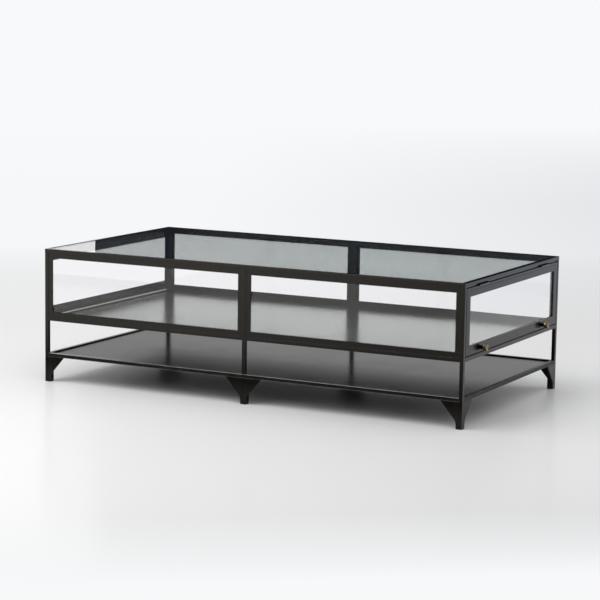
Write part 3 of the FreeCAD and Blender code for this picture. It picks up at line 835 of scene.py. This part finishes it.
@dataclass
class EndDoor:
    """The lift-up door: rebated stiles and rails, a pane in the rebate and beads behind it."""

    edge: float = 0.9 * MM
    weld: float = 0.3 * MM
    groove_drop: float = 7.5 * MM
    groove_width: float = 1.4 * MM
    groove_depth: float = 0.9 * MM
    groove_edge: float = 0.15 * MM
    rebate: float = 9 * MM
    lip: float = 4 * MM
    bead: float = 8 * MM
    arris: float = 0.4 * MM
    seal_width: float = 6 * MM
    seal_drop: float = 7 * MM
    rest_width: float = 8 * MM
    rest_height: float = 2 * MM
    seal_inset: float = 6 * MM
    stop_gap: float = 0.8 * MM
    stop_recess: float = 4 * MM
    hinge_length: float = 76 * MM

    def section(self, low: Array, high: Array, inner_high: bool, upright: bool) -> Array:
        """The L-shaped outline of a member: a rectangle less the rebate behind its inner edge.

        Args:
            low: Lowest x and lowest place across the door.
            high: Highest x and highest place across the door.
            inner_high: True if the opening lies on the member's high side.
            upright: True for a stile, whose outline is x by y, False for a rail, z by x.
        """
        lip, step = high[0] - self.lip, high[1] - self.rebate
        points = np.array([low, (high[0], low[1]), high, (lip, high[1]), (lip, step), (low[0], step)])
        if not inner_high:
            points[:, 1] = low[1] + high[1] - points[:, 1]
            points = points[::-1]
        return points if upright else points[::-1, ::-1]

    def grooved(self, outline: Array, rounding: Array) -> tuple[Array, Array]:
        """Cut a groove along the outer face of a rail, a little below its top edge.

        Args:
            outline: The rail's corners, z by x.
            rounding: The rounding of each corner.

        Returns:
            The corners and roundings with the groove's four corners let in.
        """
        top, face = outline.max(axis=0)
        upper, lower = top - self.groove_drop, top - self.groove_drop - self.groove_width
        floor = face - self.groove_depth
        groove = [(upper, face), (upper, floor), (lower, floor), (lower, face)]
        after = int(np.argmax(outline.sum(axis=1))) + 1
        return (np.insert(outline, after, groove, axis=0),
                np.insert(rounding, after, [self.groove_edge] * len(groove)))

    def build(self) -> None:
        """Make the four members, the pane, the beads, and what closes the gaps."""
        for node, run, inner_high in (
                ("door_stile_front", Run.Z, True), ("door_stile_back", Run.Z, False),
                ("door_rail_bottom", Run.Y, True), ("door_rail_top", Run.Y, False)):
            low, high = corners(node)
            upright, along = run is Run.Z, run.value[2]
            across = [0, 1] if upright else [0, 2]
            outline = self.section(low[across], high[across], inner_high, upright)
            rounding = np.full(len(outline), self.edge)
            if node == "door_rail_top":
                outline, rounding = self.grooved(outline, rounding)
            end = self.edge if upright else self.weld
            bar = prism(outline, run, low[along], high[along], end, rounding)
            make_piece(node + "_bar", bar, BAR[run], DOOR, [node])
        pane = block(*corners("door_glass"), Run.Z, self.arris, steps=1)
        make_piece("door_glass_pane", pane, CLEAR_GLASS, DOOR, ["door_glass"])
        beads = Window(self.bead, self.bead).strips(*corners("door_beads"))
        make_piece("door_bead_strips", beads, BAR[Run.Y], DOOR, ["door_beads"])
        self.seals()

    def head_stop(self) -> Shell:
        """A flat bar under the top rail in three lengths, between and beside the hinges."""
        door_low, door_high = corners("door_rail_top")
        top = corners("top_rail_right")[0][2]
        end = corners("door_stile_back")[1][1]
        outer = corners("hinge_frame_leaves")[1][1] + self.stop_gap
        inner = outer - self.hinge_length - 2 * self.stop_gap
        return joined([block((door_low[0], first, door_high[2] + self.stop_gap),
                             (door_high[0] - self.stop_recess, last, top), Run.Y, self.arris)
                       for first, last in ((-end, -outer), (-inner, inner), (outer, end))])

    def seals(self) -> None:
        """What closes the gaps over and under the door: two foam strips and the head stop."""
        ledge_bottom = corners("top_glass_ledge")[0][2]
        outer = corners("door_rail_top")[0][0] - self.arris
        reach = corners("door_stile_back")[1][1] - self.seal_inset
        over = block((outer - self.seal_width, -reach, ledge_bottom - self.seal_drop),
                     (outer, reach, ledge_bottom), Run.Y, self.arris)
        rail_low, rail_high = corners("case_rail_right")
        middle, half = (rail_low[0] + rail_high[0]) / 2, self.rest_width / 2
        under = block((middle - half, -reach, rail_high[2]),
                      (middle + half, reach, rail_high[2] + self.rest_height), Run.Y, self.arris)
        make_piece("door_head_seal", over, FOAM, TABLE, [])
        make_piece("door_head_stop", self.head_stop(), BAR[Run.Y], TABLE, [])
        make_piece("door_rest_strip", under, FOAM, TABLE, [])


@dataclass
class TurnedKnobs:
    """Two turned brass knobs on the door's bottom rail: a waisted neck and a grooved head."""

    neck_radius: float = 7 * MM
    neck_length: float = 9 * MM
    waist: float = 5.74 * MM
    collar: float = 0.8 * MM
    waist_start: float = 2.4 * MM
    waist_end: float = 7.4 * MM
    slope: float = 1.5 * MM
    head_radius: float = 11 * MM
    head_edge: float = 1.3 * MM
    groove_depth: float = 0.5 * MM
    groove_floor: float = 0.9 * MM
    groove_mouth: float = 1.35 * MM
    dish: float = 0.7 * MM
    roundings_mm: tuple[float, ...] = (0.2, 0.3, 1, 1.2, 0.8, 1, 0.1, 0.1, 0.1, 0.1, 1.2, 0.4, 0.4)
    drop: float = 2 * MM
    around: int = 64

    def profile(self, length: float) -> Array:
        """Distance along and radius, from the door's face out to the middle of the head's face."""
        radius, neck = self.head_radius, self.neck_radius
        rim, groove = radius - self.head_edge, radius - self.groove_depth
        middle = (self.neck_length + length) / 2
        floor, mouth, bottom = self.groove_floor / 2, self.groove_mouth / 2, length - self.dish
        line = [(0, 0), (0, neck), (self.collar, neck), (self.waist_start, self.waist),
                (self.waist_end, self.waist), (self.neck_length, neck + self.slope),
                (self.neck_length, radius), (middle - mouth, radius), (middle - floor, groove),
                (middle + floor, groove), (middle + mouth, radius), (length, radius),
                (length, rim - self.slope), (bottom, rim - 2 * self.slope), (bottom, 0)]
        return bent(np.array(line), np.array(self.roundings_mm) * MM)

    def build(self) -> None:
        """Make both knobs and dress their screws."""
        for side in ("front", "back"):
            node = "knob_" + side
            low, high = corners(node)
            centre = (low + high) / 2
            start = (low[0], centre[1], centre[2] - self.drop)
            knob = turned(self.profile(high[0] - low[0]), start, Run.X, self.around)
            make_piece(node + "_turned", knob, BRASS, DOOR, [node])
        dress("knob_screws", ZINC)


@dataclass
class KeptSolids:
    """The sheets on their cross bars, the hinges, and the catches: solids that keep their own shape."""

    def build(self) -> None:
        """Dress them all."""
        for sheet, finish in (("case_floor", CASE_SHEET_PAINTED_LIGHT), ("lower_shelf", SHELF_SHEET_PAINTED_SHADE)):
            dress(sheet, finish)
            dress(sheet + "_supports", BAR[Run.X])
        for part in ("frame", "door"):
            dress(f"hinge_{part}_leaves", BAR[Run.Y])
            dress(f"hinge_screws_{part}", BLACK_ZINC)
        dress("hinge_pins", BLACK_ZINC)
        dress("magnetic_catches", CATCH)
        dress("strike_plates", ZINC)


# ------------------------ studio

BACKDROP = "#F8F9FA"
WHITE = "#FFFFFF"


def stage_sheet(name: str, low: Place, high: Place, material: Material) -> bpy.types.Object:
    """A flat face between two corners, level or upright along x."""
    mesh = bpy.data.meshes.new(name)
    (left, near, bottom), (right, far, top) = low, high
    spots = [low, (right, near, bottom), high, (left, far, top)]
    mesh.from_pydata(spots, [], [range(len(spots))])
    mesh.materials.append(material)
    item = add_object(name, mesh)
    return item


def glowing(tree: Tree, colour: Colour) -> Node:
    """A surface that shows one colour whatever light falls on it."""
    return add_node(tree, "Emission", {"Color": colour, "Strength": 1.0})


def measured(tree: Tree, place: Socket, way: Place) -> Socket:
    """How far a place lies from zero along a way."""
    return add_node(tree, "VectorMath", {0: place, 1: way}, operation="DOT_PRODUCT").outputs["Value"]


@dataclass(frozen=True)
class Viewpoint:
    """The camera: its place, its three axes and its lens."""

    place: Place = (3.20285, -6.2253, 1.3219)
    right: Place = (0.8871, 0.4613, 0.0152)
    up: Place = (-0.0806, 0.1225, 0.9892)
    back: Place = (0.4544, -0.8788, 0.1459)
    lens_mm: float = 126.57

    def build(self) -> None:
        """Make the camera."""
        data = bpy.data.cameras.new("camera")
        data.lens = self.lens_mm
        item = add_object("camera", data)
        turn = Matrix((self.right, self.up, self.back)).transposed().to_4x4()
        item.matrix_world = Matrix.Translation(self.place) @ turn
        bpy.context.scene.camera = item


@dataclass(frozen=True)
class PaperFloor(Finish):
    """A pale floor: matt round the table and lit there by the lamps, but turning darker to the right as
    a painted falloff of light; further away a glow, which behind the table also turns greyer to the
    right as painted falloff of light.

    Glass sees the glow as white, greyer far to the right.  Polished steel sees painted reflections in
    it: white behind the table and bluish at its right, and in front of it the dim side of the studio.
    Each span tells where one thing turns into the next: sideways and away as the camera looks, or
    along x and y.
    """

    view: Viewpoint
    name: str = "pale_studio_floor"
    size: float = 60.0
    roughness: float = 0.22
    sheen: float = 0.13
    paper_painted_falloff: Fade = ((-0.9, 0.8), "#F2F2F1", "#EAEAE9")
    far: Fade = ((-0.6, 2.2), "#F6F7F9", "#E2E4E7")
    far_through_glass: Fade = ((-0.6, 2.2), WHITE, "#E6E7E9")
    horizon: Span = (6, 14)
    aside: Span = (3, 6)
    near: str = "#F7F8F9"
    near_slope: float = 0.15
    near_end: Span = (-2.35, -1.75)
    dim: Fade = ((-1.6, 0.3), "#FFFCF8", "#A5A29F")
    dark: str = "#4A4846"
    dark_end: Span = (-1.25, -0.8)
    dim_end: Span = (-0.75, -0.45)
    bright: Fade = ((0.6, 1.6), WHITE, "#DDE4F8")
    glow_away: Span = (1.2, 4.0)
    glow_round: Span = (2.2, 4.0)
    glow_through_glass: Span = (1.2, 1.7)

    def surface(self, tree: Tree) -> Node:
        """Paper, with the glow over it."""
        place = place_on_piece(tree)
        x, y, _ = apart(tree, place)
        sideways = measured(tree, place, self.view.right)
        away = measured(tree, place, tuple(-part for part in self.view.back))
        distance = add_node(tree, "VectorMath", {0: place}, operation="LENGTH").outputs["Value"]
        path = add_node(tree, "LightPath").outputs
        gloss, through = path["Is Glossy Ray"], path["Is Transmission Ray"]

        # The matt paper turns darker to the right: painted falloff of light.
        matt = add_node(tree, "BsdfDiffuse", {"Color": turning(tree, sideways, *self.paper_painted_falloff)})
        polish = add_node(tree, "BsdfAnisotropic", {"Roughness": self.roughness})

        slope = combined(tree, "MULTIPLY", sideways, self.near_slope)
        slanted = combined(tree, "SUBTRACT", away, slope)
        near = spread(tree, slanted, 1, 0, self.near_end)
        # Behind the table the glow turns greyer to the right: painted falloff of light.
        behind = turning(tree, away, self.horizon, turning(tree, sideways, *self.far), BACKDROP)
        seen = blended(tree, near, behind, self.near)
        seen = turning(tree, combined(tree, "ABSOLUTE", sideways), self.aside, seen, BACKDROP)
        # Polished steel sees painted reflections here: dim and then dark in front, bluish at the right
        # behind.
        dim_side = spread(tree, y, 1, 0, self.dim_end)
        dim = turning(tree, y, self.dark_end, turning(tree, x, *self.dim), self.dark)
        mirrored = blended(tree, dim_side, turning(tree, x, *self.bright), dim)
        colour = blended(tree, gloss, seen, mirrored)
        # Through glass the glow also turns greyer to the right: painted falloff of light.
        colour = blended(tree, through, colour, turning(tree, sideways, *self.far_through_glass))

        beyond = spread(tree, distance, 0, 1, self.glow_through_glass)
        share = near
        for more in (spread(tree, away, 0, 1, self.glow_away),
                     spread(tree, distance, 0, 1, self.glow_round),
                     combined(tree, "MULTIPLY", gloss, dim_side),
                     combined(tree, "MULTIPLY", through, beyond)):
            share = combined(tree, "MAXIMUM", share, more)
        return mixed(tree, share, mixed(tree, self.sheen, matt, polish), glowing(tree, colour))

    def build(self) -> None:
        """Make the floor."""
        half = self.size / 2
        stage_sheet("studio_floor", (-half, -half, 0), (half, half, 0), self.material())


@dataclass(frozen=True)
class Card(Finish):
    """An upright card over the table's back edge that glows, and that only reflections see: a painted
    reflection.

    A look through glass passes through it, unless the look was reflected before.
    """

    name: str
    left: float
    right: float
    glow: tuple[float, float, float]
    y: float = 0.45
    bottom: float = 0.452
    top: float = 1.5
    mirrored: float = 0.5            # between no mirroring and one

    def surface(self, tree: Tree) -> Node:
        """The glow, or nothing for a look through glass."""
        path = add_node(tree, "LightPath").outputs
        unreflected = combined(tree, "LESS_THAN", path["Glossy Depth"], self.mirrored)
        looked_through = combined(tree, "MULTIPLY", path["Is Transmission Ray"], unreflected)
        nothing = add_node(tree, "BsdfTransparent")
        return mixed(tree, looked_through, glowing(tree, (*self.glow, 1)), nothing)

    def build(self) -> None:
        """Make the card."""
        item = stage_sheet(self.name, (self.left, self.y, self.bottom), (self.right, self.y, self.top),
                           self.material())
        item.visible_camera = False
        item.visible_diffuse = False
        item.visible_shadow = False


@dataclass(frozen=True)
class Softbox:
    """One large soft lamp overhead, in front and to the left."""

    size: Span = (3.2, 2.4)
    watts: float = 40
    place: Place = (-0.9, -1.75, 2.85)
    aim: Place = (0.1, 0, 0.1)

    def build(self) -> None:
        """Make the lamp."""
        data = bpy.data.lights.new("overhead_softbox", "AREA")
        data.shape = "RECTANGLE"
        data.size, data.size_y = self.size
        data.energy = self.watts
        item = add_object("overhead_softbox", data)
        item.location = self.place
        item.rotation_euler = (Vector(self.aim) - item.location).to_track_quat("-Z", "Y").to_euler()


@dataclass(frozen=True)
class Surroundings:
    """Soft surroundings: what gloss sees, and the light that fills the shadows.

    Each span is a part of the way looked: x to the right, y to the back and z up.
    """

    pale: Fade = ((0.1, 0.7), WHITE, "#DFE5F5")
    front: str = "#77716B"
    front_end: Span = (-0.7, 0.1)
    fill: Fade = ((-0.3, 0.3), WHITE, "#CFD0D2")
    low: Fade = ((0.5, 0.95), "#8A8B8D", WHITE)
    low_end: Span = (0, 0.45)
    ground: str = "#303031"
    ground_end: Span = (0.1, 0.25)

    def build(self) -> None:
        """Make the world."""
        world = bpy.data.worlds.new("studio_world")
        bpy.context.scene.world = world
        world.use_nodes = True
        tree = world.node_tree
        tree.nodes.clear()
        x, y, z = apart(tree, add_node(tree, "TexCoord").outputs["Generated"])
        path = add_node(tree, "LightPath").outputs
        gloss = turning(tree, y, self.front_end, self.front, turning(tree, x, *self.pale))
        low = turning(tree, combined(tree, "ABSOLUTE", x), *self.low)
        fill = turning(tree, z, self.low_end, low, turning(tree, y, *self.fill))
        fill = turning(tree, z, self.ground_end, self.ground, fill)
        light = blended(tree, path["Is Glossy Ray"], fill, gloss)
        for seen in ("Is Transmission Ray", "Is Camera Ray"):
            light = blended(tree, path[seen], light, BACKDROP)
        glow = add_node(tree, "Background", {"Color": light, "Strength": 1.0})
        add_node(tree, "OutputWorld", {"Surface": glow.outputs[0]})


@dataclass
class Studio:
    """A plain pale floor, two cards, soft light and the camera.

    A near black glowing card over the table paints dark reflections that keep glare off the top pane,
    and a bright glowing card beside it at the left paints a white reflection.
    """

    view: Viewpoint = Viewpoint()
    # Both cards glow and only reflections see them: painted reflections.
    flag: Card = Card("black_painted_reflection_card", left=-1.124, right=1.2, glow=(0.018, 0.021, 0.028))
    bright_card: Card = Card("white_painted_reflection_card", left=-2.4, right=-1.124, glow=(1.3, 1.3, 1.3))

    def build(self) -> None:
        """Make every part of the studio."""
        floor = PaperFloor(self.view)
        for item in (floor, self.flag, self.bright_card, Softbox(), Surroundings(), self.view):
            item.build()


# ------------------------ main


def main() -> None:
    """Build the studio and every sub-assembly."""
    logging.basicConfig(level=logging.INFO, format="%(name)s: %(message)s")
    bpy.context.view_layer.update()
    bpy.context.scene.view_settings.view_transform = "Standard"
    for part in (Studio(), WeldedFrame(), Feet(), FixedGlazing(), FlushTop(), EndDoor(), TurnedKnobs(),
                 KeptSolids()):
        part.build()
    bpy.context.view_layer.update()


if __name__ == "__main__":
    main()
